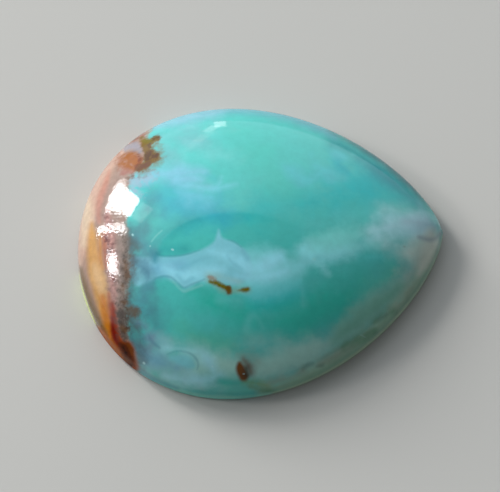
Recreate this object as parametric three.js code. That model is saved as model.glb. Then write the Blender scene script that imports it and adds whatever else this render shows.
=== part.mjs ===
// A pear-shaped cabochon of gem silica: one piece of blue-green chalcedony with a
// strip of brown matrix at its round end, ground to a smooth dome on a flat base.
// Millimetres, +Z up. The origin is the middle of the base, and +X points to the tip.

import * as THREE from "three";

// Driving dimensions
const LENGTH = 32; // round end to tip, along X
const WIDTH = 27; // across the widest place, along Y
const HEIGHT = 7; // base to the crown of the dome
const BASE_BEVEL = 0.3; // ground off the sharp edge of the base
const GIRDLE_HEIGHT = 1.4; // top of the low wall, where the dome starts
const GIRDLE_LEAN = THREE.MathUtils.degToRad(8); // the wall leans in, for a bezel to grip

// Form of the curves
const TIP_TAPER = 0.41; // how fast the sides draw in to the tip: 0 gives an ellipse
const DOME_FULLNESS = 1.9; // 2 is an elliptical arc, and less is leaner in the shoulder
const CROWN_ROUNDNESS = 0.94; // the crown's oval contours, as a share of the half sizes

// Fineness of the facets
const AROUND = 120;
const DOME_STEPS = 22;

const POLISHED_TEAL = new THREE.MeshStandardMaterial({
  color: 0x45aca6,
  roughness: 0.1,
  metalness: 0,
});

const MEAN_RADIUS = (LENGTH + WIDTH) / 4;
// sin(t) * sin(t/2)^taper is greatest where tan(t/2)^2 = 1 + taper
const WIDEST_TURN = 2 * Math.atan(Math.sqrt(1 + TIP_TAPER));
const CROWN_X = (LENGTH / 2) * Math.cos(WIDEST_TURN);

// How far the outline stands from its long axis at a turn, before it is scaled to WIDTH.
function halfWidthShare(turn) {
  return Math.sin(turn) * Math.abs(Math.sin(turn / 2)) ** TIP_TAPER;
}

// The outline of the girdle, seen from above, with the tip at turn 0.
function girdleOutline(turn) {
  return new THREE.Vector2(
    (LENGTH / 2) * Math.cos(turn),
    ((WIDTH / 2) * halfWidthShare(turn)) / halfWidthShare(WIDEST_TURN),
  );
}

// The oval that the dome's contours tend to at the crown, measured from the crown.
function crownOval(turn) {
  return new THREE.Vector2(
    (LENGTH / 2) * CROWN_ROUNDNESS * Math.cos(turn),
    (WIDTH / 2) * CROWN_ROUNDNESS * Math.sin(turn),
  );
}

// A point seen from above: share 0 is the crown, and share 1 is the girdle outline.
// The contours pass from oval to pear on the way out, so no crease runs to the tip.
function planPoint(turn, share) {
  const crown = new THREE.Vector2(CROWN_X, 0);
  const toGirdle = girdleOutline(turn).sub(crown);
  return crownOval(turn).lerp(toGirdle, share ** 2).multiplyScalar(share).add(crown);
}

// The lean of the wall, carried on up the dome, as a share of the outline left at a height.
function leanShare(height) {
  return 1 - ((height - BASE_BEVEL) * Math.tan(GIRDLE_LEAN)) / MEAN_RADIUS;
}

// Half of the cross-section, as shares of the outline against heights in millimetres:
// flat base, bevel, leaning wall and dome.
function crossSection() {
  const section = [
    new THREE.Vector2(0, 0),
    new THREE.Vector2(1 - BASE_BEVEL / MEAN_RADIUS, 0),
    new THREE.Vector2(1, BASE_BEVEL),
  ];
  for (let step = 0; step <= DOME_STEPS; step++) {
    const reach = step === DOME_STEPS ? 0 : Math.cos((step / DOME_STEPS) * (Math.PI / 2));
    const rise = (1 - reach ** DOME_FULLNESS) ** (1 / DOME_FULLNESS);
    const height = GIRDLE_HEIGHT + (HEIGHT - GIRDLE_HEIGHT) * rise;
    section.push(new THREE.Vector2(reach * leanShare(height), height));
  }
  return section;
}

// The cross-section turned once round, then drawn out from a circle to the pear.
function cabochonGeometry() {
  const geometry = new THREE.LatheGeometry(crossSection(), AROUND);
  geometry.rotateX(Math.PI / 2);
  const position = geometry.getAttribute("position");
  for (let i = 0; i < position.count; i++) {
    const x = position.getX(i);
    const y = position.getY(i);
    const point = planPoint(Math.atan2(y, x), Math.hypot(x, y));
    position.setXY(i, point.x, point.y);
  }
  geometry.computeVertexNormals();
  return geometry;
}

const cabochon = new THREE.Mesh(cabochonGeometry(), POLISHED_TEAL);
cabochon.name = "cabochon";

const part = new THREE.Group();
part.add(cabochon);

export default part;
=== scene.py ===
# %% [markdown]
# A gem silica cabochon
#
# This lesson dresses one polished stone: a pear-shaped cabochon of gem silica, which is chalcedony
# coloured blue-green by copper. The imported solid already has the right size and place, so every
# measure here starts from its box. The steps are the camera, the dome, the bands inside the stone,
# the polish, and the light.

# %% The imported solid
import math

import bpy
import numpy as np
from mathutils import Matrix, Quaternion, Vector


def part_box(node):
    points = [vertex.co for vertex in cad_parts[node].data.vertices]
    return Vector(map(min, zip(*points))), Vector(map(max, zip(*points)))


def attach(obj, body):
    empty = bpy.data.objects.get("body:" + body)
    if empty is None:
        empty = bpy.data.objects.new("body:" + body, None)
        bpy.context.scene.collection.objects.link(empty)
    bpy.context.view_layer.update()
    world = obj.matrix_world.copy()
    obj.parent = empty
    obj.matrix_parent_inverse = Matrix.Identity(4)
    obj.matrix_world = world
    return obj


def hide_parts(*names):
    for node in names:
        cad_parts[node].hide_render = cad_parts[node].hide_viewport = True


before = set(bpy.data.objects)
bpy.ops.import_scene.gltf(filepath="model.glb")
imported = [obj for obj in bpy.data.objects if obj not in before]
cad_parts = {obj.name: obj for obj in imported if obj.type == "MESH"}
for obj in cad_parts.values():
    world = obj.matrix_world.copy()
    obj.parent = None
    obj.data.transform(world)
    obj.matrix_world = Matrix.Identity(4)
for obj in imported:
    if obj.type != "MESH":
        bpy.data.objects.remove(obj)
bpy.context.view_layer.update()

stone_low, stone_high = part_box("cabochon")
LENGTH, WIDTH, HEIGHT = stone_high - stone_low
MM = 0.001
print(f"packed stone: {LENGTH / MM:.1f} x {WIDTH / MM:.1f} x {HEIGHT / MM:.1f} mm")

# %% [markdown]
# The camera
#
# The photograph looks down on the stone from 67 degrees, almost along its width, through a long lens.
# A long lens from 20 cm keeps the outline nearly free of perspective. The camera aims a millimetre
# beside the middle of the base, which puts the stone where the photograph has it without any shift.

# %% Camera
VIEW_ELEVATION = math.radians(67)
VIEW_AZIMUTH = math.radians(-5.95)
VIEW_DISTANCE = 200 * MM
VIEW_LENS = 164.9
AIM_RIGHT, AIM_UP = -0.97 * MM, 0.43 * MM

to_camera = Vector((
    math.sin(VIEW_AZIMUTH) * math.cos(VIEW_ELEVATION),
    -math.cos(VIEW_AZIMUTH) * math.cos(VIEW_ELEVATION),
    math.sin(VIEW_ELEVATION),
))
seen_right = Vector((math.cos(VIEW_AZIMUTH), math.sin(VIEW_AZIMUTH), 0))
seen_up = to_camera.cross(seen_right)

camera_data = bpy.data.cameras.new("camera")
camera_data.lens = VIEW_LENS
camera_data.sensor_width = 36
camera_data.clip_start = 0.01
camera = bpy.data.objects.new("camera", camera_data)
camera.location = to_camera * VIEW_DISTANCE + seen_right * AIM_RIGHT + seen_up * AIM_UP
camera.rotation_euler = to_camera.to_track_quat("Z", "Y").to_euler()
bpy.context.scene.collection.objects.link(camera)
bpy.context.scene.camera = camera
bpy.context.scene.view_settings.view_transform = "Standard"
print("camera at", [round(value / MM) for value in camera.location], "mm")

# %% [markdown]
# The form of the stone
#
# A lapidary grinds the outline first, then the wall that a setting grips, and last the dome. Every
# level of the dome is a smaller outline: an oval near the crown that turns into the pear at the girdle.

# %% Outline and dome
BASE_BEVEL = 0.3 * MM
GIRDLE_HEIGHT = 1.4 * MM
GIRDLE_LEAN = math.radians(8)
TIP_TAPER = 0.41
DOME_FULLNESS = 1.9
CROWN_ROUNDNESS = 0.94
SECTION_SAMPLES = 2000
MEAN_RADIUS = (LENGTH + WIDTH) / 4
WIDEST_TURN = 2 * math.atan(math.sqrt(1 + TIP_TAPER))
CROWN_X = LENGTH / 2 * math.cos(WIDEST_TURN)


def half_width_share(turn):
    """The outline's distance from the long axis: the sine of the turn, times the sine of half of it
    to the power of the taper, which draws the sides in towards the tip at turn 0."""
    return np.sin(turn) * np.abs(np.sin(turn / 2)) ** TIP_TAPER


def plan_point(turn, share):
    """A point seen from above. Share 0 is the crown and share 1 the girdle. The offset from the crown
    is the share times a blend, by the share squared, from an oval to the pear outline."""
    oval_x = LENGTH / 2 * CROWN_ROUNDNESS * np.cos(turn)
    oval_y = WIDTH / 2 * CROWN_ROUNDNESS * np.sin(turn)
    pear_x = LENGTH / 2 * np.cos(turn) - CROWN_X
    pear_y = WIDTH / 2 * half_width_share(turn) / half_width_share(WIDEST_TURN)
    x = CROWN_X + share * (oval_x + (pear_x - oval_x) * share**2)
    y = share * (oval_y + (pear_y - oval_y) * share**2)
    return x, y


def lean_share(height):
    """How much of the outline is left at a height: the wall's lean, carried on up the dome."""
    return 1 - (height - BASE_BEVEL) * math.tan(GIRDLE_LEAN) / MEAN_RADIUS


def dome_section(along):
    """Share and height of the dome at an even distance along its section, 0 at the crown and 1 at the
    girdle. The section is a superellipse, a quarter turn sampled finely and read by arc length."""
    quarter = np.linspace(0, math.pi / 2, SECTION_SAMPLES)
    reach = np.sin(quarter)
    rise = (1 - reach**DOME_FULLNESS) ** (1 / DOME_FULLNESS)
    height = GIRDLE_HEIGHT + (HEIGHT - GIRDLE_HEIGHT) * rise
    share = reach * lean_share(height)
    steps = np.hypot(np.diff(share) * MEAN_RADIUS, np.diff(height))
    travelled = np.concatenate([[0], np.cumsum(steps)])
    travelled /= travelled[-1]
    return np.interp(along, travelled, share), np.interp(along, travelled, height)


# %% [markdown]
# The mesh
#
# A polar grid would crowd into slivers at the crown, right in the middle of the polish. A square sheet
# wrapped onto a disc has even cells everywhere: each square ring of the sheet becomes a round ring.

# %% Dome
CELLS = 280


def wrapped_disc(cells):
    """Radius and turn of a square sheet wrapped onto a disc: the larger of the two coordinates is the
    radius, and the ratio of the smaller to it turns an eighth of a circle either way."""
    side = np.linspace(-1, 1, cells + 1)
    across_sheet, along_sheet = np.meshgrid(side, side)
    wide = np.abs(across_sheet) > np.abs(along_sheet)
    larger = np.where(wide, across_sheet, along_sheet)
    smaller = np.where(wide, along_sheet, across_sheet)
    ratio = smaller / np.where(larger == 0, 1, larger)
    turn = np.where(wide, ratio * math.pi / 4, math.pi / 2 - ratio * math.pi / 4)
    return np.abs(larger), np.where(larger < 0, turn + math.pi, turn)


radius, turn = wrapped_disc(CELLS)
share, dome_z = dome_section(radius)
dome_x, dome_y = plan_point(turn, share)
dome = np.stack([dome_x, dome_y, dome_z], axis=-1).reshape(-1, 3)
print(len(dome), "points on the dome")

# %% [markdown]
# The wall and the base
#
# The rim of the dome is the first ring of the skirt: a leaning wall, then the small bevel that keeps
# the base from chipping. The flat base closes to one point in its middle.

# %% Wall and base
WALL_RINGS = 8
BEVEL_RINGS = 3
BASE_EDGE = 0.97

row = CELLS + 1
index = np.arange(row * row).reshape(row, row)
rim = np.concatenate([index[0, :-1], index[:-1, -1], index[-1, :0:-1], index[:0:-1, 0]])
rim_turn = turn.reshape(-1)[rim]

wall_z = np.linspace(GIRDLE_HEIGHT, BASE_BEVEL, WALL_RINGS + 1)[1:]
bevel_z = np.linspace(BASE_BEVEL, 0, BEVEL_RINGS + 1)[1:]
bevel_share = 1 - (BASE_BEVEL - bevel_z) / MEAN_RADIUS
skirt_share = np.concatenate([lean_share(wall_z), bevel_share, [BASE_EDGE]])
skirt_z = np.concatenate([wall_z, bevel_z, [0]])
skirt_x, skirt_y = plan_point(rim_turn[None, :], skirt_share[:, None])
skirt = np.stack([skirt_x, skirt_y, np.broadcast_to(skirt_z[:, None], skirt_x.shape)], axis=-1)
points = np.concatenate([dome, skirt.reshape(-1, 3), [[CROWN_X, 0, 0]]])

corners = [index[:-1, :-1], index[:-1, 1:], index[1:, 1:], index[1:, :-1]]
dome_quads = np.stack(corners, axis=-1).reshape(-1, 4)
rings = np.concatenate([rim[None, :], len(dome) + np.arange(skirt_x.size).reshape(skirt_x.shape)])
upper, lower = rings[:-1], rings[1:]
skirt_quads = np.stack([upper, lower, np.roll(lower, -1, 1), np.roll(upper, -1, 1)], axis=-1)
last = rings[-1]
base_fan = np.stack([last, np.full_like(last, len(points) - 1), np.roll(last, -1)], axis=-1)
faces = dome_quads.tolist() + skirt_quads.reshape(-1, 4).tolist() + base_fan.tolist()
print(len(points), "points and", len(faces), "faces in all")

# %% Mesh of the stone
mesh = bpy.data.meshes.new("polished_cabochon")
mesh.from_pydata(points.tolist(), [], faces)
mesh.polygons.foreach_set("use_smooth", np.ones(len(mesh.polygons), bool))
mesh.update()
stone = bpy.data.objects.new("polished_cabochon", mesh)
bpy.context.scene.collection.objects.link(stone)

# %% [markdown]
# Bands of colour
#
# Gem silica grows in layers. Silica fills a crack while copper, iron and clay come and go in the water,
# so the stone is a stack of tints, milky veils and rusty seams, and the dome is only a cut through them.
# Each layer is drawn here as ribbons or as one area, with its own colour, placed on the slanted plane
# that the photograph is seen in, in millimetres across and up from the middle of the base. The layers
# run straight through the stone along that view, so the sides and the base carry them on. A layer is
# kept on the mesh as one number per point, 0 or less inside it and 1 or more outside, with a blurred
# edge between. The number is a distance, which stays smooth between points, so even a hairline comes
# out sharp.

# %% Distance to a ribbon
DEEP_INSIDE, FAR_OUTSIDE = -4.0, 9.0
RIM_TAPER = 0.1


def on_seen_plane(places):
    """Places as millimetres across and up on the slanted plane of the photograph."""
    return places @ np.array(seen_right) / MM, places @ np.array(seen_up) / MM


across, up = on_seen_plane(points)
stains = []


def smooth_path(rows, closed=False, steps=5):
    """A Catmull-Rom curve through rows of numbers: each span is the cubic that leaves and arrives along
    the chord between its neighbours. An open path is carried on straight past its ends."""
    rows = np.array(rows, float)
    if closed:
        rows = np.concatenate([rows[-1:], rows, rows[:2]])
    else:
        rows = np.concatenate([2 * rows[:1] - rows[1:2], rows, 2 * rows[-1:] - rows[-2:-1]])
    neighbours = rows[:-3], rows[1:-2], rows[2:-1], rows[3:]
    before, start, end, after = (part[:, None, :] for part in neighbours)
    t = np.linspace(0, 1, steps, endpoint=False)[None, :, None]
    bend = 2 * before - 5 * start + 4 * end - after
    twist = 3 * (start - end) + after - before
    path = start + t / 2 * (end - before + t * (bend + t * twist))
    return np.concatenate([path.reshape(-1, rows.shape[1]), rows[-2:-1]])


def path_distance(path, x, y):
    """Least distance from points to a path of (across, up, width) rows, less half of the width there."""
    nearest = np.full(len(x), np.inf)
    for (x0, y0, width), (x1, y1, next_width) in zip(path[:-1], path[1:]):
        run, rise = x1 - x0, y1 - y0
        along = np.clip(((x - x0) * run + (y - y0) * rise) / (run**2 + rise**2), 0, 1)
        gap = np.hypot(x - x0 - along * run, y - y0 - along * rise)
        nearest = np.minimum(nearest, gap - (width + along * (next_width - width)) / 2)
    return nearest


def ribbons(blur, *paths):
    """The field of a layer made of ribbons: 0.5 at a ribbon's edge, with a slope of 1 over the blur.
    Only the points within reach of a ribbon are worked out. The others are far outside it."""
    field = np.full(len(across), FAR_OUTSIDE)
    for rows in paths:
        path = smooth_path(rows)
        reach = path[:, 2].max() / 2 + 2 * blur
        low, high = path[:, :2].min(0) - reach, path[:, :2].max(0) + reach
        near = (across > low[0]) & (across < high[0]) & (up > low[1]) & (up < high[1])
        distance = path_distance(path, across[near], up[near])
        field[near] = np.minimum(field[near], distance / blur + 0.5)
    return field


def area(blur, outline):
    """The field of a layer with a closed outline: the distance to the outline, negative inside it. A
    point is inside where a line from it to the right crosses the outline an odd number of times."""
    path = smooth_path(outline, closed=True)
    edge = np.column_stack([path, np.zeros(len(path))])
    inside = np.zeros(len(across), bool)
    for (x0, y0), (x1, y1) in zip(path[:-1], path[1:]):
        level = (y0 > up) != (y1 > up)
        inside ^= level & (across < x0 + (up - y0) * (x1 - x0) / (y1 - y0 if y1 != y0 else 1))
    distance = path_distance(edge, across, up)
    return np.where(inside, -distance, distance) / blur + 0.5


def stain(name, colour, field, strength=0.95, ragged=0.3, noise="cloud"):
    """Keep a layer: its field goes onto the mesh, and the rest waits for the material."""
    layer = mesh.attributes.new(name, "FLOAT", "POINT")
    layer.data.foreach_set("value", np.clip(field, DEEP_INSIDE, FAR_OUTSIDE).astype(np.float32))
    stains.append((name, colour, strength, ragged, noise))


def near_rim(start, end, inset, width, count=9):
    """Rows of a ribbon along the near edge of the base, between two turns in degrees: the outline at the
    top of the bevel, set in a little, seen on the slanted plane. The width is the root of a sine."""
    sweep = np.radians(np.linspace(start, end, count))
    x, y = plan_point(sweep, 1 - inset * MM / MEAN_RADIUS)
    edge = np.stack([x, y, np.full(count, BASE_BEVEL)], axis=-1)
    swell = np.sqrt(np.sin(np.linspace(RIM_TAPER, math.pi - RIM_TAPER, count)))
    return np.column_stack([*on_seen_plane(edge), width * swell])


# %% [markdown]
# Copper tints
#
# The clear chalcedony runs from sea green to cyan as its copper changes, and greys towards the matrix.
# These are the deepest and widest layers, so their edges are blurred over several millimetres. The dark
# line on the far right rim among them is painted shade.

# %% Copper tints
BODY = "#4ab7af"
stain("cyan_field", "#12afb0", ribbons(
    4.6,
    [(5.5, 4.7, 1.4), (8.7, 5.8, 3.5), (11.8, 4.7, 2.6)],
    [(0, 3.8, 0.7), (3.3, 4, 1.2), (6.3, 4.3, 1.2)],
))
stain("green_crown", "#42b6a8", ribbons(4.4, [(-2.5, 9.6, 1.8), (0, 8, 3.1), (2, 5.2, 1.8)]), 0.8)
stain("deep_shoulder", "#00828a", ribbons(
    2.4, [(6.4, 9.5, 0.4), (8, 8.7, 0.6), (10.2, 7, 1), (12.1, 5.4, 1), (13.9, 3.7, 0.5)],
), 0.95, ragged=0.1)
stain("pale_flank", "#66c8c2", ribbons(2.8, [(4, 2.2, 0.7), (7, 2.5, 1.2), (9.6, 3, 1.2)]), 0.7)
stain("grey_shoulder", "#63a4a6", ribbons(
    3.8,
    [(-9.9, 10.3, 0.9), (-8.2, 8.9, 2.3), (-7.8, 7.5, 1.8)],
    [(-6.5, 9.6, 1.4), (-4.4, 9.4, 1)],
), 0.9)
stain("pale_crown", "#6cc4c0", ribbons(3, [(-6.6, 8.1, 0.6), (-4.6, 8.4, 1.1), (-2.6, 8.2, 0.8)]), 0.55)
stain("rim_haze", "#5aa4ae", ribbons(
    1, [(-9.3, 11, 0.7), (-6.3, 12.1, 1), (-3.2, 12.5, 1), (0, 12.4, 1), (3.4, 11.6, 1), (6.5, 10.1, 0.7)],
), ragged=0.15)
stain("rim_pale", "#84b2c2", ribbons(
    1.5, [(-9.2, 11, 0.5), (-6.6, 11.7, 1), (-3.6, 12.2, 0.6)],
), 0.7, ragged=0.15)
# Painted shade: a dark line on the far right rim of the dome, painted in place of a dark reflection there.
stain("painted_shade_far_rim", "#045660", ribbons(
    0.8, [(6, 10.6, 0.1), (8.2, 9.4, 0.4), (10.4, 8, 0.5), (13, 5.8, 0.5), (15.4, 3.3, 0.3)],
), 0.85, ragged=0.1)
stain("blue_field", "#36a5b3", ribbons(
    3.5, [(-9.5, 4.7, 1.8), (-7.1, 4.3, 3.1), (-4.8, 3.6, 2.6), (-3.3, 2.6, 1)],
))
stain("grey_edge", "#47868c", ribbons(
    2.6,
    [(-9.3, 5, 0.8), (-9.7, 3, 1.7), (-9.9, 1.2, 1.9), (-9.8, 0, 1.5)],
    [(-10, -3.3, 1.2), (-9.4, -4.8, 2.1), (-8.8, -6.3, 1.4)],
), 0.9)
stain("lens", "#2e9a9b", ribbons(
    1.8,
    [(-9.2, 0.4, 0.9), (-8.2, 1.4, 1.2), (-6.9, 2.3, 0.9), (-5.5, 2.6, 0.4)],
    [(-8.5, 0.2, 0.5), (-6.5, 0.2, 0.4)],
), 0.8, ragged=0.12)
stain("lower_cyan", "#0cb6b8", ribbons(2.6, [(-0.4, -4.1, 1.2), (1.2, -4, 1.8), (2.9, -3.6, 0.9)]), 0.9)
stain("lower_green", "#2ab3a0", ribbons(
    3.6,
    [(0, -5.8, 1.2), (2.8, -5.8, 3), (5.6, -4.8, 3), (8.2, -3.1, 1.8)],
    [(-4.6, -4.4, 1), (-1.8, -5.3, 1.4)],
))
stain("moss_green", "#50b49d", ribbons(2.6, [(-6.8, -6.6, 0.9), (-4.4, -7.6, 1.6), (-2.1, -8, 1)]))
stain("tip_green", "#5cc3b0", ribbons(2.8, [(8.9, -3.5, 1.2), (11.2, -2, 1.6)]), 0.9)
stain("thin_wisps", "#60c1bb", ribbons(
    0.8,
    [(3.4, -3.1, 0.2), (3.5, -4.5, 0.3)],
    [(-1.4, -6.6, 0.2), (-0.9, -5.5, 0.3), (-0.3, -5.6, 0.2), (0.1, -6.4, 0.2)],
    [(-3.4, -4.1, 0.4), (-1.9, -4.1, 0.4)],
), 0.5, ragged=0.4)
print(len(stains), "tints")

# %% [markdown]
# Milky veils
#
# Where the silica was cloudy it left white veils. The middle one crosses the whole stone, starts as a
# banded agate with a sharp edge at the matrix, and thins out into wisps before the tip.

# %% Upper veils
stain("top_veil", "#76b5c6", ribbons(
    1.6,
    [(-9.9, 6.1, 0.7), (-8.5, 6.6, 1.3), (-6.6, 6.7, 1.3), (-4.9, 6.8, 0.6)],
    [(-7.4, 6.2, 1), (-6, 6.2, 1.5), (-5.2, 6, 0.9)],
    [(-6.8, 5.7, 0.7), (-5.6, 5.5, 1), (-4.5, 5.5, 0.5)],
), ragged=0.25)
stain("veil_hollow", "#46adb4", ribbons(0.8, [(-4.6, 6.5, 0.2), (-4.1, 6.2, 0.5), (-3.7, 6, 0.2)]), 0.6)
stain("top_wisps", "#74c6d2", ribbons(
    0.7,
    [(-6.2, 5.7, 0.3), (-4.9, 5.3, 0.5), (-3.6, 5.4, 0.3), (-2.1, 5.75, 0.15)],
    [(-3.4, 6.3, 0.2), (-3.6, 5.7, 0.3), (-4.1, 5.2, 0.3)],
), 0.6)
stain("top_mist", "#66bccb", ribbons(1.8, [(-6.8, 4.9, 0.7), (-4.7, 4.5, 0.9)]), 0.9)
stain("clouds", "#4fb7ba", ribbons(
    1.1,
    [(1.9, 7.4, 0.5), (2.7, 6.8, 0.9), (3.4, 6.1, 0.5)],
    [(4.4, 8, 0.4), (5.2, 7.1, 0.9), (6.2, 6.3, 0.8), (7.1, 6.3, 0.4)],
    [(5.1, 6.8, 0.3), (4.2, 5.9, 0.3)],
    [(6.5, 8.5, 0.3), (7.4, 8, 0.3)],
), 0.9, ragged=0.5)
stain("cyan_eye", "#049bac", ribbons(1, [(6.7, 7.5, 0.4), (7.4, 6.9, 0.4)]), 0.6)

# %% Middle veil
stain("middle_veil", "#82d3d6", ribbons(1.6, [
    (-4.7, -1.3, 1.8), (-1.9, -1.5, 3), (0.6, -1.5, 3.1), (2.4, -1.4, 2.3),
    (4.3, -0.5, 1.8), (6, -0.1, 1.5), (7.7, 0.2, 1.3), (9.4, 0.8, 1.3),
]), 0.9)
stain("agate_veil", "#7dc3ce", area(0.4, [
    (-11.3, -0.7), (-9.4, -0.5), (-7, -0.4), (-5.9, -0.15), (-5.1, 0.15), (-4.5, 0.45), (-4, 0.85),
    (-3.78, 1.4), (-3.62, 1.85), (-3.45, 1.45), (-3.2, 1.1), (-2.4, 0.85), (-1.8, 0.45), (-1.3, -0.1),
    (-0.9, -0.9), (-0.9, -2), (-1.8, -2.7), (-2.9, -2.8), (-4, -2.45), (-4.9, -2.4), (-5.6, -2.75),
    (-6.45, -3.1), (-7, -2.7), (-7.5, -2.3), (-8.2, -2.1), (-8.8, -2.25), (-9.4, -2.6), (-10.7, -2.9),
]), ragged=0.1)
stain("blue_veil", "#74b2c8", ribbons(1.4, [(-9.9, -1.2, 0.9), (-8.8, -1.5, 1.2), (-6.9, -1.3, 0.8)]), 0.8)
stain("bright_veil", "#99deea", ribbons(
    1.3,
    [(-4.4, 0, 0.4), (-3.4, -0.2, 0.8), (-2.1, -0.9, 0.8), (-0.8, -1.5, 0.9), (0.6, -1.1, 1),
     (1.6, -0.5, 0.7)],
    [(-2.1, -2.1, 0.4), (0.1, -2.2, 0.7), (1.9, -1.7, 0.4)],
    [(-8.1, -1.4, 0.3), (-6.6, -2.2, 0.5), (-4.8, -1.7, 0.7), (-3.1, -1.6, 0.5)],
), 0.75, ragged=0.3)
stain("veil_bands", "#6db4c3", ribbons(
    0.5,
    [(-7, -1.5, 0.1), (-6.2, -1.2, 0.2), (-5.2, -0.75, 0.25), (-4.3, -0.55, 0.15)],
    [(-2.9, -0.4, 0.15), (-2.4, -1, 0.25), (-1.7, -1.5, 0.15)],
    [(-1.6, 0.1, 0.15), (-1.2, -0.6, 0.3)],
    [(-7.1, -2, 0.1), (-6.5, -2.6, 0.15), (-5.8, -2.3, 0.15)],
), 0.55)
stain("veil_grey", "#94c0bd", ribbons(0.9, [(-4.4, -2, 0.3), (-3.2, -2.2, 0.6), (-1.8, -2.6, 0.4)]), 0.7)
stain("veil_fade", "#66c8ca", ribbons(1.6, [(-1.3, -3.4, 0.7), (0.9, -3.4, 1), (3.1, -2.8, 0.8)]), 0.75)
stain("right_veil", "#8cdddf", ribbons(
    1.4,
    [(3.3, 0, 0.6), (5.1, 0.2, 1.1), (7.4, 0.2, 0.9)],
    [(4.1, -0.4, 0.4), (4.9, -1.2, 0.7), (5.3, -1.7, 0.3)],
), 0.85, ragged=0.4)
stain("rising_veil", "#7cd4cc", ribbons(
    1.9,
    [(4.8, 0.9, 0.9), (7.6, 1.2, 1.4), (9.6, 1.7, 1)],
    [(7.5, 0.3, 0.5), (9.6, 0.6, 0.8), (10.8, 1, 0.5)],
), 0.85)
stain("veil_gap", "#54c8c6", ribbons(1.3, [(8.4, -0.4, 0.4), (10, -0.5, 0.5)]), 0.75)
stain("veil_hole", "#50b4aa", ribbons(0.9, [(2.2, -0.4, 0.3), (2.9, -0.6, 0.4)]), 0.6)

# %% Tip
stain("tip_haze", "#a9d3d2", ribbons(
    2.6,
    [(10.6, 3.6, 0.5), (12, 3.4, 1.2), (13.4, 2.9, 1.1), (14.6, 2.4, 0.7)],
    [(10.7, 0.6, 0.9), (12.2, 0.3, 1.6), (13.4, -0.8, 1.6)],
), 0.75, ragged=0.2)
stain("tip_cloud", "#b4e0e6", ribbons(
    2.2, [(9.4, 1.7, 0.7), (11.2, 2.1, 1.8), (12.8, 2.1, 1.8), (14.4, 1.6, 1.1)],
), 0.9, ragged=0.2)
stain("tip_bone", "#c8dcd0", ribbons(
    2, [(12.4, -0.2, 0.9), (13.6, -0.1, 1.8), (15.1, 0.5, 1.2)],
), ragged=0.15)
stain("tip_grey", "#a4c0b4", ribbons(
    2.2, [(14, -0.6, 0.9), (12.9, -1.8, 1.6), (12.2, -3.2, 1.2), (11.3, -4.2, 0.7)],
), 0.9)
stain("tip_lilac", "#a2b8c4", ribbons(
    1.6, [(12.4, 2.6, 0.4), (14, 2.4, 0.9), (15.1, 2, 0.7)],
), 0.65, ragged=0.15)

# %% Lower veil
stain("low_veil", "#98cdc2", ribbons(2.2, [
    (-10.2, -9, 1.6), (-8.1, -9.7, 2.1), (-5.8, -9.8, 2.6), (-3.4, -9.7, 2.3), (-1.1, -9.8, 1.9),
    (1.2, -9.6, 2.4), (3.3, -8.9, 2.4), (5.5, -7.9, 1.9), (7.4, -6.9, 1.6), (8.9, -5.5, 1.8),
    (10.3, -4.3, 1.6), (11.6, -3.2, 1),
]), ragged=0.25)
stain("low_veil_right", "#77b7a1", ribbons(
    1.7, [(6.3, -7.4, 0.9), (8.6, -5.5, 1.5), (10.3, -4.3, 1.3), (11.6, -3.2, 0.9)],
), ragged=0.25)
stain("low_veil_pale", "#a3d3c6", ribbons(
    1.6,
    [(-0.9, -10.3, 0.7), (0.9, -9.7, 1.2), (2.8, -9, 1.4), (4.8, -8, 1)],
    [(-3.9, -9.3, 0.8), (-2.1, -9.7, 1)],
), 0.9, ragged=0.25)
stain("low_veil_blue", "#71a9ba", ribbons(
    1.7,
    [(-10.4, -8.4, 1.2), (-9, -9.3, 1.8), (-7.3, -9.8, 1.2)],
    [(-9.7, -7.2, 0.7), (-8.2, -7.6, 0.9)],
))
stain("low_veil_bright", "#a1dee7", ribbons(
    1.3,
    [(-8.2, -10.5, 0.4), (-6.4, -10.9, 0.8), (-4.7, -10.8, 0.9), (-3.5, -10.4, 0.5)],
    [(-5, -8.5, 0.5), (-4.4, -9.3, 0.9), (-4, -10.3, 0.7)],
    [(-8, -8.1, 0.3), (-6.4, -8.2, 0.4), (-5, -8.5, 0.4)],
), 0.85, ragged=0.25)
stain("low_mist", "#86c0b8", ribbons(
    1.9,
    [(-8.6, -7.4, 0.6), (-6.8, -7.7, 1), (-5, -8.1, 0.6)],
    [(-1.8, -7.9, 0.5), (-0.2, -7.6, 0.9), (1.5, -7.5, 0.6)],
), 0.6)
stain("agate_eye", "#77c7ce", ribbons(
    0.6, [(-7.5, -9, 0.5), (-6.8, -9.1, 0.9), (-6.2, -9.3, 1), (-5.8, -9.6, 0.5)],
), 0.8, ragged=0.1)
stain("base_teal", "#42b9a9", ribbons(
    1, [(-3.5, -10.9, 0.5), (-1.3, -11.6, 0.8), (-2.5, -11.8, 0.5)],
), 0.9)
# Painted shadow: a darker green-olive just below the brown spot of iron oxide, painted as the spot's
# shadow.
stain("painted_spot_shadow", "#6a9658", ribbons(
    0.9, [(-1.5, -10.9, 0.4), (-0.6, -11.1, 0.5), (0.6, -11.4, 0.4)],
), 0.8)
print(len(stains), "tints and veils")
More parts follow.
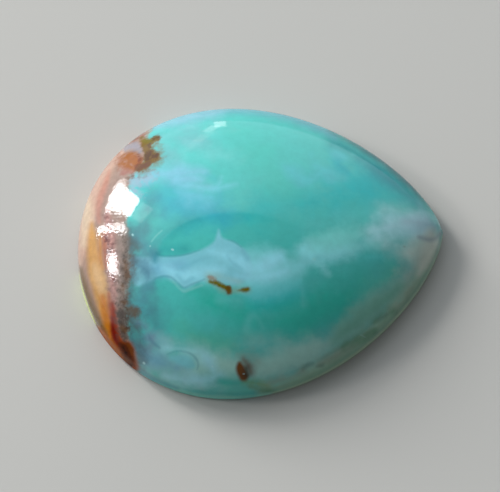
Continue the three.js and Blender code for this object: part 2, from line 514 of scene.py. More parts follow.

# %% [markdown]
# Margin
#
# Towards the tip the lower edge of the stone is a thin rind of grey-green chalcedony. Along the very
# edge of the base, where the girdle is thin, pale lines are painted light: a painted glow that outlines
# the stone.

# %% Margin
stain("margin_field", "#94b699", ribbons(1.2, near_rim(266, 345, 0.4, 1.7)), 0.85, ragged=0.15)
stain("margin_dark", "#83a08c", ribbons(
    0.9,
    [(14.4, -0.6, 0.3), (13.4, -2.5, 0.5), (12.6, -3.8, 0.5), (11.5, -5, 0.4)],
    [(7.7, -8, 0.4), (6.5, -8.7, 0.6), (5, -9.6, 0.4)],
    [(3.5, -10.1, 0.3), (2.4, -10.7, 0.3), (0.7, -11, 0.3)],
), 0.8)
stain("margin_green", "#50906f", ribbons(
    0.9,
    [(7, -8.1, 0.3), (8.2, -7.5, 0.5), (9.6, -6.7, 0.5)],
    [(9.6, -6.1, 0.3), (10.4, -5.6, 0.5), (11.3, -5.1, 0.3)],
    [(-1, -11.4, 0.2), (0, -11.75, 0.4), (1.2, -12, 0.4)],
), 0.85)
stain("smudges", "#4c7d74", ribbons(
    0.45,
    [(3.5, -9.95, 0.1), (3.9, -9.65, 0.2), (4.3, -9.55, 0.2)],
    [(4.7, -9.75, 0.1), (5.2, -9.7, 0.15)],
    [(10, -5.85, 0.2), (10.65, -5.45, 0.3)],
), 0.5, ragged=0.3)
stain("tip_edge", "#c6cdc0", ribbons(1, near_rim(334, 362, 0.7, 1.3)), 0.8, ragged=0.1)
# Painted light: the next two layers are thin pale lines along the very edge of the base, a painted glow on
# the thin girdle.
stain("painted_rim_glow", "#b9d2b4", ribbons(0.35, near_rim(263, 356, 0, 0.45)), 0.85, ragged=0.05)
stain("painted_mint_rim_glow", "#86d4c2", ribbons(0.45, near_rim(231, 268, 0.05, 0.5)), 0.8, ragged=0.1)
stain("rim_blue", "#4a92a4", ribbons(0.6, near_rim(221, 238, 0.3, 0.4)), 0.7)
stain("tip_dark", "#8a9ba4", ribbons(
    0.6, [(13.6, 1.2, 0.1), (14.3, 1, 0.25), (15, 1.05, 0.25), (15.5, 1.5, 0.2)],
), 0.75, ragged=0.1)
stain("tip_rim", "#6fb0a4", ribbons(
    0.3, [(13.6, 5.3, 0.1), (14.6, 4.1, 0.15), (15.4, 3, 0.15)],
), 0.6, ragged=0.05)

# %% [markdown]
# Matrix
#
# The round end keeps a strip of the host rock, which lapidaries call matrix: iron-stained clay and
# quartz in tan, ochre, rose and red seams, with a dark mossy fringe and smoky chalcedony beside it.

# %% Smoke beside the matrix
stain("smoke", "#3f666f", ribbons(2.2, [
    (-11.2, 1.8, 0.6), (-11.1, 0, 1.2), (-11, -2, 1.5), (-11.1, -4, 1.2), (-11, -6, 1.4), (-10.9, -8, 1.2),
    (-10.9, -9.4, 0.8),
]), ragged=0.25)
stain("blue_smoke", "#47808f", ribbons(
    1.7,
    [(-10.5, 0.7, 0.8), (-9.9, 0, 1), (-9.3, -0.4, 0.6)],
    [(-10.2, -1.2, 0.8), (-9.7, -2.3, 1.1), (-10, -3.6, 1), (-10.1, -4.8, 1)],
), 0.8)
stain("veil_shade", "#467f92", ribbons(
    1.6, [(-10.2, -0.5, 0.5), (-9.8, -1.4, 0.9), (-9.5, -2.3, 0.8), (-9.9, -3.1, 0.6)],
), 0.7)
stain("dusk", "#3a5460", ribbons(
    1.5,
    [(-11.1, 0.3, 0.5), (-10.8, -0.5, 0.7), (-10.8, -1.6, 0.6), (-10.8, -2.6, 0.6), (-11, -3.8, 0.5)],
), 0.85, ragged=0.35)
stain("dark_smoke", "#465652", ribbons(
    0.9,
    [(-11.2, 0.9, 0.5), (-10.6, 0.35, 0.8), (-10.4, 0, 0.5)],
    [(-11.2, -5.9, 0.6), (-10.6, -6.3, 0.9), (-10.3, -6.9, 0.5)],
), 0.75, ragged=0.4)
stain("grey_smoke", "#4d626c", ribbons(1.7, [
    (-10.9, -5.4, 0.7), (-10.4, -6, 0.9), (-10.2, -7, 1), (-10.3, -8, 0.9), (-10.3, -9.2, 0.8),
]), 0.8, ragged=0.35)
stain("swirl", "#6d8798", ribbons(
    1, [(-10.5, -5.9, 0.4), (-9.9, -6.2, 0.7), (-9.4, -6.9, 0.8), (-9.2, -7.7, 0.6), (-9.3, -8.4, 0.3)],
), 0.7, ragged=0.35)
# Partly painted reflection: pale lilac smoke beside the window's reflection, with a grainy painted sparkle
# of that reflection on the rough matrix.
stain("lilac_smoke_and_sparkle", "#8fa4b4", ribbons(
    1.1,
    [(-11.7, 6.1, 0.7), (-10.9, 6, 1.2), (-10.2, 6.1, 0.9), (-9.4, 6.3, 0.5)],
    [(-11, 5.4, 0.5), (-10.5, 4.9, 0.4)],
    [(-10, 6.8, 0.4), (-9.5, 6.8, 0.5)],
    [(-11.1, 6.6, 0.4), (-10.6, 6.6, 0.5)],
), 0.85, ragged=0.3, noise="grain")

# %% Seams of the matrix
stain("matrix", "#8e7466", area(0.55, [
    (-9.8, 11), (-10.1, 9.7), (-9.9, 8.4), (-10.3, 7.2), (-11.2, 6.4), (-11.5, 4), (-11.4, 1),
    (-11.2, -1.8), (-11.5, -4.6), (-11.4, -6.3), (-11.2, -7.5), (-10.8, -8.4), (-10.6, -10),
    (-12.1, -10.3), (-17.3, -6.8), (-17.6, 8), (-12.5, 11.6),
]), 1, ragged=0.2, noise="grain")
stain("worn_end", "#8a3c04", area(0.7, [
    (-13.7, -6.3), (-12.4, -6.2), (-11.7, -7.4), (-10.9, -7.9), (-10.6, -9.3), (-10.6, -10.2),
    (-12.2, -10.6), (-15, -8),
]), 1, ragged=0.15)
stain("tan", "#b08f7d", ribbons(0.6, [
    (-11.6, 9.5, 0.5), (-12.7, 8.4, 1.1), (-13.6, 7.1, 1.3), (-14.3, 5.6, 1.5), (-14.9, 3.9, 1.6),
    (-15.2, 2, 1.5), (-15.5, 0.4, 1), (-15.6, -1, 0.5),
]), ragged=0.1)
stain("cream", "#bba58c", ribbons(
    0.9, [(-15.1, 4.6, 0.5), (-15.1, 3.3, 1.1), (-15.1, 1.9, 0.9), (-15.2, 0.6, 0.5)],
), 0.9, ragged=0.1)
stain("salmon", "#a5705f", ribbons(
    0.55, [(-13.2, 7, 0.2), (-13.5, 5.8, 0.5), (-13.9, 4.6, 0.6), (-14, 3.4, 0.4), (-13.9, 2.5, 0.3)],
), 0.85, ragged=0.15)
stain("ochre", "#b48340", ribbons(0.7, [
    (-14.6, 2.3, 0.3), (-14.45, 1.1, 0.9), (-14.35, -0.2, 1.1), (-14.2, -1.5, 1.3), (-13.8, -2.9, 1.2),
    (-13.6, -4.1, 1.1), (-13.3, -5.3, 0.9), (-13.1, -6.4, 0.7), (-12.8, -7.4, 0.4),
]), ragged=0.1)
stain("amber", "#b1742c", ribbons(0.55, [
    (-13.8, 1.5, 0.2), (-13.75, 0.5, 0.5), (-13.7, -0.6, 0.4), (-13.5, -1.6, 0.15),
]), 0.9, ragged=0.15)
stain("peach", "#c09a6a", ribbons(
    1, [(-14.2, -1.3, 0.7), (-13.9, -2.2, 1.1), (-13.5, -3.2, 0.7)],
), 0.85, ragged=0.1)
stain("orange", "#ad6608", ribbons(0.6, [
    (-13.5, -3.9, 0.4), (-13.25, -4.9, 0.8), (-13.15, -5.9, 0.8), (-12.95, -6.9, 0.6), (-12.6, -7.8, 0.5),
    (-12.1, -8.6, 0.4),
]), ragged=0.1)
# Partly painted shade: the brown margin of the matrix, painted dark brown towards the rim where the edge
# is in shade.
stain("brown_margin_and_shade", "#5e4620", ribbons(0.6, near_rim(181, 207, 0.55, 0.8)), 0.9, ragged=0.1)
# Painted light: a thin lime line along the very edge of the base at the round end, a painted glow where
# the bevel catches the light.
stain("painted_lime_rim_glow", "#d2e08c", ribbons(0.25, near_rim(182, 201, 0, 0.42)), 0.9, ragged=0.05)
stain("rose", "#9c7269", ribbons(0.55, [
    (-13.2, 3.5, 0.4), (-13.1, 2.3, 0.8), (-12.9, 1, 1), (-12.7, -0.4, 1), (-12.6, -1.8, 0.9),
    (-12.5, -3.2, 0.8), (-12.4, -4.4, 0.6),
]), ragged=0.3, noise="grain")
stain("rust", "#9c5431", ribbons(
    0.5,
    [(-13.45, 1.9, 0.15), (-13.4, 0.8, 0.4), (-13.3, -0.4, 0.3), (-13.15, -1.4, 0.15)],
    [(-12.95, -3.6, 0.1), (-12.85, -4.6, 0.25), (-12.8, -5.6, 0.25)],
), 0.85, ragged=0.15)
stain("red", "#802806", ribbons(0.5, [
    (-12.6, -4.5, 0.3), (-12.5, -5.5, 0.6), (-12.45, -6.5, 0.75), (-12.3, -7.5, 0.75), (-12, -8.5, 0.5),
]), 1, ragged=0.15)
stain("dark_red", "#620400", ribbons(
    0.4, [(-12.65, -5.7, 0.15), (-12.55, -6.7, 0.35), (-12.35, -7.6, 0.4), (-12, -8.6, 0.35)],
), 0.85, ragged=0.15)
stain("red_rim", "#964c02", ribbons(0.5, near_rim(203, 219, 0.3, 0.7)), 0.85, ragged=0.1)
stain("granules", "#6d342f", ribbons(
    0.3,
    [(-13.3, 1.25, 0.25), (-13.15, 0.95, 0.25)],
    [(-12.9, 0.75, 0.2), (-12.75, 0.6, 0.25)],
    [(-13.1, 0.2, 0.3), (-12.95, -0.2, 0.25)],
    [(-13.25, 2.9, 0.2), (-13.1, 2.8, 0.2)],
    [(-12.6, -2.1, 0.3), (-12.5, -2.4, 0.3)],
), 0.75, ragged=0.5, noise="grain")

# %% Fringe of the matrix
stain("fringe_pale", "#86746a", ribbons(0.8, [
    (-11.8, 1.9, 0.6), (-11.9, 1, 0.8), (-11.8, 0, 0.9), (-11.7, -1.6, 0.7), (-11.9, -3.2, 0.7),
    (-11.9, -4.4, 0.5),
]), 0.85, ragged=0.3)
stain("fringe", "#5a4f45", ribbons(0.9, [
    (-11.5, 1.1, 0.4), (-11.4, -0.3, 0.6), (-11.4, -1.8, 0.8), (-11.6, -3.1, 0.5), (-11.7, -4.6, 0.7),
    (-11.7, -5.8, 0.8), (-11.6, -7.2, 0.7),
]), 0.85, ragged=0.25, noise="grain")
stain("fringe_low", "#473d36", ribbons(
    0.8, [(-11.9, -4.3, 0.4), (-11.85, -5.3, 0.8), (-11.75, -6.4, 0.8), (-11.6, -7.2, 0.6)],
), 0.85, ragged=0.3, noise="grain")
stain("fringe_brown", "#5e4022", ribbons(
    0.4,
    [(-11.55, -0.9, 0.25), (-11.45, -1.5, 0.45), (-11.35, -2.2, 0.5)],
    [(-11.8, -2.9, 0.25), (-11.7, -3.2, 0.3)],
    [(-11.9, -4.3, 0.2), (-11.55, -4.35, 0.3)],
    [(-11.85, -6.4, 0.35), (-11.5, -6.7, 0.45)],
), 0.85, ragged=0.35, noise="grain")
stain("brown_cloud", "#5b4c3c", ribbons(
    0.7, [(-11.1, -4.9, 0.6), (-10.7, -5.1, 0.9), (-10.6, -5.4, 0.6)],
), 0.9, ragged=0.25, noise="grain")
stain("lobe", "#4c1c02", ribbons(0.45, [
    (-11.9, -7.9, 0.5), (-11.5, -8.3, 0.95), (-11.3, -8.9, 0.9), (-11.1, -9.6, 0.6),
]), 1, ragged=0.15, noise="grain")
stain("lobe_rust", "#6a3406", ribbons(
    0.4,
    [(-11.3, -7.9, 0.25), (-11.05, -8.1, 0.35), (-11, -8.7, 0.25)],
    [(-11.6, -9.2, 0.2), (-11.15, -9.4, 0.3)],
), 0.9, ragged=0.3, noise="grain")
stain("lobe_black", "#1c0600", ribbons(
    0.35, [(-11.7, -8.1, 0.2), (-11.5, -8.6, 0.3)],
), 0.75, noise="grain")

# %% Patches at the top of the matrix
stain("patch_edge", "#96664f", ribbons(
    0.7, [(-12.4, 8.2, 0.6), (-12, 7.5, 0.9), (-11.8, 7, 0.5)],
), 0.9, ragged=0.35, noise="grain")
stain("orange_patch", "#8f5010", ribbons(
    0.6,
    [(-11.8, 8.2, 0.6), (-11.2, 8, 1.2), (-10.7, 7.7, 1.1)],
    [(-12, 7.6, 0.4), (-11.4, 7.3, 0.7), (-10.9, 7.1, 0.5)],
), 1, ragged=0.3, noise="grain")
stain("patch_dark", "#6a2a06", ribbons(
    0.45, [(-10.65, 8.25, 0.3), (-10.5, 7.8, 0.4), (-10.8, 7.25, 0.35)],
), 0.85, ragged=0.4, noise="grain")
stain("patch_rose", "#96665a", ribbons(
    0.6, [(-12, 6.8, 0.5), (-11.3, 6.8, 0.4)],
), 0.8, ragged=0.4, noise="grain")
stain("lilac_white", "#88838a", ribbons(
    0.5, [(-11.9, 9, 0.5), (-11.3, 9.15, 0.7), (-10.8, 9.1, 0.7), (-10.5, 8.7, 0.3)],
), ragged=0.25, noise="grain")
stain("rim_orange", "#7a432c", ribbons(
    0.35, [(-11.6, 9.55, 0.2), (-11, 9.85, 0.3), (-10.4, 10.2, 0.35)],
), 0.85, ragged=0.2, noise="grain")
stain("moss_halo", "#6c7c6c", ribbons(
    0.8, [(-9.1, 9.3, 0.5), (-8.7, 8.6, 0.4), (-8.8, 7.8, 0.5), (-9.5, 7.2, 0.7), (-10.4, 6.7, 0.5)],
), 0.8, ragged=0.3, noise="grain")
stain("moss", "#6c4e00", area(0.4, [
    (-10.5, 10), (-10, 9.75), (-9.5, 9.85), (-9.1, 10.05), (-8.8, 9.85), (-8.9, 9.55), (-9.25, 9.4),
    (-9.4, 9.05), (-9.25, 8.75), (-8.9, 8.55), (-8.75, 8.2), (-8.85, 7.85), (-9.35, 7.5), (-9.8, 7.1),
    (-10.3, 6.85), (-10.7, 6.95), (-10.65, 7.3), (-10.3, 7.6), (-10.1, 8.1), (-10.2, 8.6), (-10.45, 9.1),
    (-10.6, 9.6),
]), 1, ragged=0.3, noise="grain")
stain("moss_olive", "#686200", ribbons(
    0.5, [(-10.2, 9.6, 0.4), (-9.6, 9.6, 0.4), (-9.1, 9.8, 0.3)],
), 0.8, ragged=0.3, noise="grain")
stain("moss_dark", "#472000", ribbons(
    0.45,
    [(-9.7, 9.2, 0.2), (-9.6, 8.6, 0.35), (-9.8, 8, 0.5)],
    [(-9.5, 8, 0.4), (-9.1, 8.3, 0.4)],
    [(-9.4, 9.75, 0.2), (-9, 9.85, 0.25)],
), 0.85, ragged=0.4, noise="grain")
stain("moss_red", "#5f3522", ribbons(
    0.5, [(-10.6, 7.2, 0.35), (-10.1, 7.3, 0.5), (-9.6, 7.5, 0.3)],
), 0.85, ragged=0.4, noise="grain")
stain("specks", "#6b5a4e", ribbons(
    0.4, [(-11.2, 6.45, 0.25), (-11, 6.4, 0.3)], [(-11.5, 6.3, 0.15), (-11.4, 6.25, 0.15)],
), 0.8, ragged=0.5, noise="grain")

# %% [markdown]
# Hairlines and inclusions
#
# Agate keeps the edge of each growth layer as a hairline. A rusty thread and a brown spot of iron oxide
# are caught in the clear stone. Pale flecks where the polish has a pinhole, and a few thin pale lines, are
# painted glints.

# %% Agate lines
stain("agate_line", "#2a888e", ribbons(
    0.25,
    [(-9, -0.1, 0.1), (-8.4, -0.38, 0.15), (-7.4, -0.4, 0.15), (-6.4, -0.28, 0.1), (-5.2, 0.1, 0.05)],
    [(-2.9, 1, 0.05), (-2.3, 0.8, 0.15), (-1.7, 0.35, 0.05)],
), 0.55, ragged=0.1)
stain("agate_line_low", "#3f8a98", ribbons(
    0.25,
    [(-9.3, -2.55, 0.05), (-8.8, -2.27, 0.12), (-8.2, -2.12, 0.15), (-7.6, -2.2, 0.12), (-7.1, -2.6, 0.1),
     (-6.7, -2.98, 0.1), (-6.4, -3.05, 0.1), (-5.9, -2.8, 0.1), (-5.3, -2.6, 0.1), (-4.8, -2.35, 0.05)],
    [(-7.9, -8.65, 0.05), (-7.3, -8.42, 0.1), (-6.6, -8.4, 0.12), (-5.95, -8.6, 0.1), (-5.5, -9, 0.12),
     (-5.3, -9.5, 0.1), (-5.4, -9.95, 0.05)],
), 0.5, ragged=0.1)
stain("agate_line_pale", "#8cc8c8", ribbons(
    0.28, [(-7.4, -2.6, 0.1), (-6.9, -3.1, 0.15), (-6.5, -3.35, 0.2), (-6, -3.2, 0.15), (-5, -2.85, 0.1)],
), 0.5, ragged=0.15)
stain("curls", "#3f7489", ribbons(
    0.3,
    [(-10.7, -1.15, 0.1), (-10.2, -1.3, 0.15), (-9.75, -1.6, 0.2), (-9.5, -2.1, 0.15), (-9.7, -2.6, 0.1)],
    [(-9.5, -6.9, 0.1), (-9.3, -7.5, 0.2), (-8.6, -8.1, 0.1)],
    [(-10.9, -6.2, 0.1), (-10.2, -6.1, 0.15), (-9.7, -6.6, 0.1)],
    [(-10.4, -7, 0.1), (-10, -7.4, 0.15), (-9.9, -7.9, 0.1)],
), 0.38, ragged=0.3)
stain("dark_lobe", "#2c8694", ribbons(0.6, [(-9.4, 0, 0.2), (-9.1, -0.4, 0.5), (-9, -0.75, 0.3)]), 0.7)

# %% Inclusions
stain("thread_halo", "#86a58c", ribbons(
    0.6, [(-4.3, -2.4, 0.4), (-3.6, -2.8, 0.4), (-2.8, -3.3, 0.5), (-1.2, -3.25, 0.35)],
), 0.6)
stain("thread_head", "#9a7f6c", ribbons(
    0.4, [(-4.4, -2.2, 0.2), (-4.1, -2.3, 0.35), (-3.9, -2.5, 0.2)],
), 0.75, ragged=0.3, noise="grain")
stain("thread", "#6a6006", ribbons(
    0.32,
    [(-4.35, -2.6, 0.2), (-3.9, -2.65, 0.3), (-3.5, -2.85, 0.4), (-3.1, -3, 0.35), (-2.8, -3.15, 0.45)],
    [(-2, -3.3, 0.1), (-1.6, -3.25, 0.3), (-1.15, -3.2, 0.33)],
), 1, ragged=0.2, noise="grain")
stain("thread_knot", "#644600", ribbons(
    0.32, [(-2.75, -3.15, 0.45), (-2.7, -3.4, 0.45)],
), ragged=0.15, noise="grain")
stain("spot_haze", "#8ca294", ribbons(1.2, [(-1.9, -8.7, 0.3), (-1.1, -8.7, 0.7), (-0.5, -9.2, 0.6)]), 0.7)
stain("spot_halo", "#6f6252", ribbons(
    0.8, [(-1.5, -9.1, 0.5), (-1.1, -9.6, 0.7), (-0.9, -10.2, 0.6)],
), 0.9, ragged=0.2)
stain("spot", "#704000", ribbons(
    0.4, [(-1.85, -9.45, 0.4), (-1.75, -9.95, 0.8), (-1.5, -10.55, 0.8)],
), 1, ragged=0.12)
stain("spot_dark", "#35260a", ribbons(0.6, [(-1.3, -9.8, 0.3), (-1.25, -10.4, 0.6)]), 0.75, ragged=0.15)
# Painted highlights: pale glints at pinholes in the polish and on a short scratch.
stain("painted_pinhole_highlights", "#b5dede", ribbons(
    0.12,
    [(-10.95, 1.4, 0.15), (-10.9, 1.35, 0.15)],
    [(-7.55, 0.15, 0.15), (-7.45, 0.1, 0.15)],
    [(-9.95, -9.45, 0.2), (-9.9, -9.5, 0.2)],
    [(-4.15, -9.65, 0.1), (-4.1, -9.7, 0.1)],
    [(-9.4, 0.45, 0.1), (-9.4, 0.4, 0.1)],
    [(-1.55, -10.3, 0.1), (-1.45, -10.3, 0.1)],
    [(8.4, -7.1, 0.05), (8.85, -7.35, 0.05)],
), 0.7, ragged=0.05)
# Painted highlights: a thin pale line along the edge of the lens and a small pale fleck.
stain("painted_glint_lines", "#93d4cc", ribbons(
    0.25,
    [(-9.3, 0.8, 0.05), (-8.9, 1.3, 0.1), (-8.4, 1.75, 0.05)],
    [(4.35, -0.65, 0.15), (4.5, -0.7, 0.2)],
), 0.5, ragged=0.1)
stain("dot", "#8c8a78", ribbons(0.2, [(12.2, 0.4, 0.1), (12.3, 0.35, 0.1)]), 0.7, ragged=0.1)
print(len(stains), "layers in all")

# %% [markdown]
# Polished chalcedony
#
# Chalcedony is quartz in fibres too fine to see. Polished, it has the gloss of quartz, with a refractive
# index of 1.54, and light goes a fraction of a millimetre into it before it comes back, which softens the
# veils. The layers are painted one over another, each with its edge broken up by noise: clouds a few
# millimetres across in the clear stone, and grains of half a millimetre in the matrix.

# %% Material helpers
CLOUD_SIZE = 2.5 * MM
GRAIN_SIZE = 0.45 * MM
NOISE_LOW, NOISE_HIGH = 0.3, 0.7


def linear(hex_colour):
    """An sRGB hex colour as linear RGBA."""
    value = np.array([int(hex_colour[i:i + 2], 16) for i in (1, 3, 5)]) / 255
    rgb = np.where(value <= 0.04045, value / 12.92, ((value + 0.055) / 1.055) ** 2.4)
    return (*rgb.tolist(), 1.0)


def add(tree, kind, sockets=(), **settings):
    """Add a node with its own settings, and set or link its sockets by name or number. A Map Range has the
    value at 0, the limits it comes from at 1 and 2 and those it goes to at 3 and 4. A Mix of colours has
    the share at 0 and the two colours at 6 and 7."""
    made = tree.nodes.new(kind)
    for name, value in settings.items():
        setattr(made, name, value)
    for key, value in dict(sockets).items():
        if isinstance(value, bpy.types.NodeSocket):
            tree.links.new(value, made.inputs[key])
        else:
            made.inputs[key].default_value = value
    return made


# %% Noises of the material
gem = bpy.data.materials.new("polished_chalcedony")
gem.use_nodes = True
tree = gem.node_tree
tree.nodes.clear()
place = add(tree, "ShaderNodeTexCoord").outputs["Object"]
signed_noise = {}
for noise, size, detail in (("cloud", CLOUD_SIZE, 4), ("grain", GRAIN_SIZE, 2)):
    texture = add(tree, "ShaderNodeTexNoise", {
        "Vector": place, "Scale": 1 / size, "Detail": float(detail), "Roughness": 0.55,
    })
    spread = add(tree, "ShaderNodeMapRange", {
        0: texture.outputs[0], 1: NOISE_LOW, 2: NOISE_HIGH, 3: -1.0, 4: 1.0,
    }, clamp=False)
    signed_noise[noise] = spread.outputs[0]

# %% Layers of the material
amounts = {}
colour = None
for name, tint, strength, ragged, noise in stains:
    field = add(tree, "ShaderNodeAttribute", attribute_name=name).outputs["Fac"]
    broken = add(tree, "ShaderNodeMath", {
        0: signed_noise[noise], 1: ragged, 2: field,
    }, operation="MULTIPLY_ADD")
    amount = add(tree, "ShaderNodeMapRange", {
        0: broken.outputs[0], 1: 0.0, 2: 1.0, 3: strength, 4: 0.0,
    }, interpolation_type="SMOOTHSTEP")
    under = linear(BODY) if colour is None else colour
    layered = add(tree, "ShaderNodeMix", {
        0: amount.outputs[0], 6: under, 7: linear(tint),
    }, data_type="RGBA")
    amounts[name] = amount.outputs[0]
    colour = layered.outputs[2]
print(len(tree.nodes), "nodes for", len(stains), "layers")

# %% [markdown]
# Grain of the stone
#
# Seen close, none of the colours is even. The chalcedony has a faint mottling, and every grain of the
# matrix has its own shade, with dark mineral specks of a fifth of a millimetre along the fringe.

# %% Grain
MOTTLE_SIZE = 0.9 * MM
MOTTLE_SHADES = 0.95, 1.05
SPECK_SIZE = 0.22 * MM
SPECK_COLOUR = "#2e2219"
SPECK_EDGE = 0.56, 0.68
SPECK_AMOUNT = 0.5
GRAIN_SHADES = {"matrix": (0.94, 1.06), "rose": (0.7, 1.3), "fringe": (0.8, 1.25)}

mottle = add(tree, "ShaderNodeTexNoise", {
    "Vector": place, "Scale": 1 / MOTTLE_SIZE, "Detail": 3.0, "Roughness": 0.65,
})
mottle_shade = add(tree, "ShaderNodeMapRange", {
    0: mottle.outputs[0], 1: NOISE_LOW, 2: NOISE_HIGH, 3: MOTTLE_SHADES[0], 4: MOTTLE_SHADES[1],
}, clamp=False)
mottled = add(tree, "ShaderNodeMix", {
    0: 1.0, 6: colour, 7: mottle_shade.outputs[0],
}, data_type="RGBA", blend_type="MULTIPLY")
grained = mottled
for zone, (darkest, lightest) in GRAIN_SHADES.items():
    shade = add(tree, "ShaderNodeMapRange", {
        0: signed_noise["grain"], 1: -1.0, 2: 1.0, 3: darkest, 4: lightest,
    })
    grained = add(tree, "ShaderNodeMix", {
        0: amounts[zone], 6: grained.outputs[2], 7: shade.outputs[0],
    }, data_type="RGBA", blend_type="MULTIPLY")
speck = add(tree, "ShaderNodeTexNoise", {"Vector": place, "Scale": 1 / SPECK_SIZE, "Detail": 1.0})
speck_spots = add(tree, "ShaderNodeMapRange", {
    0: speck.outputs[0], 1: SPECK_EDGE[0], 2: SPECK_EDGE[1], 3: 0.0, 4: SPECK_AMOUNT,
}, interpolation_type="SMOOTHSTEP")
speck_amount = add(tree, "ShaderNodeMath", {
    0: speck_spots.outputs[0], 1: amounts["fringe"],
}, operation="MULTIPLY")
specked = add(tree, "ShaderNodeMix", {
    0: speck_amount.outputs[0], 6: grained.outputs[2], 7: linear(SPECK_COLOUR),
}, data_type="RGBA")

# %% [markdown]
# Finish of the stone
#
# The matrix is softer and grainier than the chalcedony, so the polish undercuts it: its surface is a
# little rough and dimpled, and breaks a reflection into sparks that the clear stone shows whole. Its
# lower end is worn and has lost most of its gloss.

# %% Finish
QUARTZ_INDEX = 1.54
STONE_ROUGHNESS, MATRIX_ROUGHNESS = 0.05, 0.075
STONE_GLOSS, WORN_GLOSS = 0.5, 0.06
DIMPLE_DEPTH = 0.009 * MM
LIGHT_DEPTH = 0.5 * MM
LIGHT_SHARE = 0.3

rough = add(tree, "ShaderNodeMapRange", {
    0: amounts["matrix"], 1: 0.0, 2: 1.0, 3: STONE_ROUGHNESS, 4: MATRIX_ROUGHNESS,
})
dimples = add(tree, "ShaderNodeMath", {0: amounts["matrix"], 1: speck.outputs[0]}, operation="MULTIPLY")
bump = add(tree, "ShaderNodeBump", {
    "Strength": 1.0, "Distance": DIMPLE_DEPTH, "Height": dimples.outputs[0],
})
gloss = add(tree, "ShaderNodeMapRange", {
    0: amounts["worn_end"], 1: 0.0, 2: 1.0, 3: STONE_GLOSS, 4: WORN_GLOSS,
})
shader = add(tree, "ShaderNodeBsdfPrincipled", {
    "Base Color": specked.outputs[2],
    "Roughness": rough.outputs[0],
    "IOR": QUARTZ_INDEX,
    "Specular IOR Level": gloss.outputs[0],
    "Subsurface Weight": LIGHT_SHARE,
    "Subsurface Radius": (1.0, 1.0, 1.0),
    "Subsurface Scale": LIGHT_DEPTH,
    "Normal": bump.outputs[0],
})
add(tree, "ShaderNodeOutputMaterial", {"Surface": shader.outputs[0]})
mesh.materials.append(gem)

# %% [markdown]
# Floor
#
# A sheet of warm grey paper, wide enough that its edge is never in view.

# %% Floor
FLOOR_HALF = 2.0
PAPER_COLOUR = "#bebbb5"
PAPER_ROUGHNESS = 0.8

floor_mesh = bpy.data.meshes.new("floor")
floor_corners = [(-FLOOR_HALF, -FLOOR_HALF, 0), (FLOOR_HALF, -FLOOR_HALF, 0)]
floor_corners += [(FLOOR_HALF, FLOOR_HALF, 0), (-FLOOR_HALF, FLOOR_HALF, 0)]
floor_mesh.from_pydata(floor_corners, [], [(0, 1, 2, 3)])
floor = bpy.data.objects.new("floor", floor_mesh)
bpy.context.scene.collection.objects.link(floor)
paper = bpy.data.materials.new("pale_paper")
paper.use_nodes = True
paper_shader = paper.node_tree.nodes["Principled BSDF"]
paper_shader.inputs["Base Color"].default_value = linear(PAPER_COLOUR)
paper_shader.inputs["Roughness"].default_value = PAPER_ROUGHNESS
floor_mesh.materials.append(paper)

# %% [markdown]
# Sky
#
# A polished dome is a mirror of the whole room, so the light has a shape. The sky is bright behind the
# stone and dark overhead, which leaves the soft-edged darker lens in the middle of the dome. The cap of
# dark sky starts where a direction's height, its Z, passes the first of two values, and is whole at the
# second.

# %% World
DARK_CAP_EDGE = 0.862, 0.885
BRIGHT_SIDE = (-0.46, 0.89, 0)
BRIGHT_SIDE_EDGE = 0.55
DIM_SKY, BRIGHT_SKY = 0.19, 1.38
SKY_COLOUR = (0.85, 0.93, 1.0, 1)

world = bpy.data.worlds.new("soft_dome")
bpy.context.scene.world = world
world.use_nodes = True
sky = world.node_tree
sky.nodes.clear()
direction = add(sky, "ShaderNodeTexCoord").outputs["Generated"]
axes = add(sky, "ShaderNodeSeparateXYZ", {0: direction})
ring = add(sky, "ShaderNodeMapRange", {
    0: axes.outputs[2], 1: DARK_CAP_EDGE[0], 2: DARK_CAP_EDGE[1], 3: 1.0, 4: 0.0,
}, interpolation_type="SMOOTHSTEP")
side = add(sky, "ShaderNodeVectorMath", {0: direction, 1: BRIGHT_SIDE}, operation="DOT_PRODUCT")
bright_side = add(sky, "ShaderNodeMapRange", {
    0: side.outputs["Value"], 1: 0.0, 2: BRIGHT_SIDE_EDGE, 3: 0.0, 4: 1.0,
}, interpolation_type="SMOOTHSTEP")
level = add(sky, "ShaderNodeMath", {0: ring.outputs[0], 1: bright_side.outputs[0]}, operation="MULTIPLY")
strength = add(sky, "ShaderNodeMapRange", {0: level.outputs[0], 1: 0.0, 2: 1.0, 3: DIM_SKY, 4: BRIGHT_SKY})
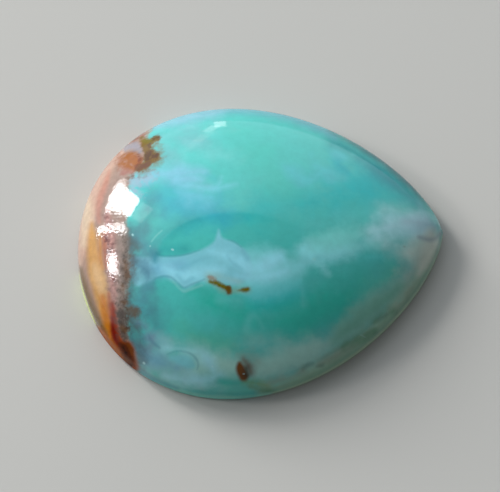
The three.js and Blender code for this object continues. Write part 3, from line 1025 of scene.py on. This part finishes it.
background = add(sky, "ShaderNodeBackground", {0: SKY_COLOUR, 1: strength.outputs[0]})
add(sky, "ShaderNodeOutputWorld", {0: background.outputs[0]})

# %% [markdown]
# Lights
#
# The bright patch on the dome is a window, so the main light is two tall panels low at the back left,
# which overlap to a shape that narrows upwards. Smaller panels give the smaller reflections: a dim square
# above the window, a strip and a bright square beside it, and a faint streak low behind the stone. Two
# angles place each panel, and its size is the angles that it fills as the stone sees it.

# %% Lights
PANEL_DISTANCE = 0.6


def panel(name, azimuth, elevation, width, height, radiance, roll=0):
    """A flat light that faces the stone: azimuth is measured from +X, all angles are in degrees. The roll
    tips the panel's top towards +X."""
    data = bpy.data.lights.new(name, "AREA")
    data.shape = "RECTANGLE"
    data.size = 2 * PANEL_DISTANCE * math.tan(math.radians(width / 2))
    data.size_y = 2 * PANEL_DISTANCE * math.tan(math.radians(height / 2))
    data.energy = radiance * math.pi * data.size * data.size_y
    light = bpy.data.objects.new(name, data)
    a, e = math.radians(azimuth), math.radians(elevation)
    towards = Vector((math.cos(a) * math.cos(e), math.sin(a) * math.cos(e), math.sin(e)))
    light.location = towards * PANEL_DISTANCE
    facing = towards.to_track_quat("Z", "Y") @ Quaternion((0, 0, 1), math.radians(roll))
    light.rotation_euler = facing.to_euler()
    bpy.context.scene.collection.objects.link(light)


panel("window_right", 129, 24, 7.5, 24, 21, roll=-2)
panel("window_left", 133, 25.5, 7.5, 25, 21, roll=10)
panel("window_top", 130, 42.5, 8, 8, 1.6)
panel("window_side", 146.3, 25, 2.6, 30, 26, roll=11)
panel("window_far", 165.5, 31.5, 10.5, 9, 22)
panel("low_far", 87.7, 4.5, 2.8, 7, 3)
panel("low_far_left", 90, 9, 3, 6, 1.8, roll=-25)
panel("low_streak", 92.3, 15.5, 3.4, 8, 0.8, roll=-36)
panel("low_streak_end", 96, 21, 3, 8, 0.5, roll=-36)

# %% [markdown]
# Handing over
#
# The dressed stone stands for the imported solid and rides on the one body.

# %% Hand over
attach(stone, "root")
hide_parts("cabochon")
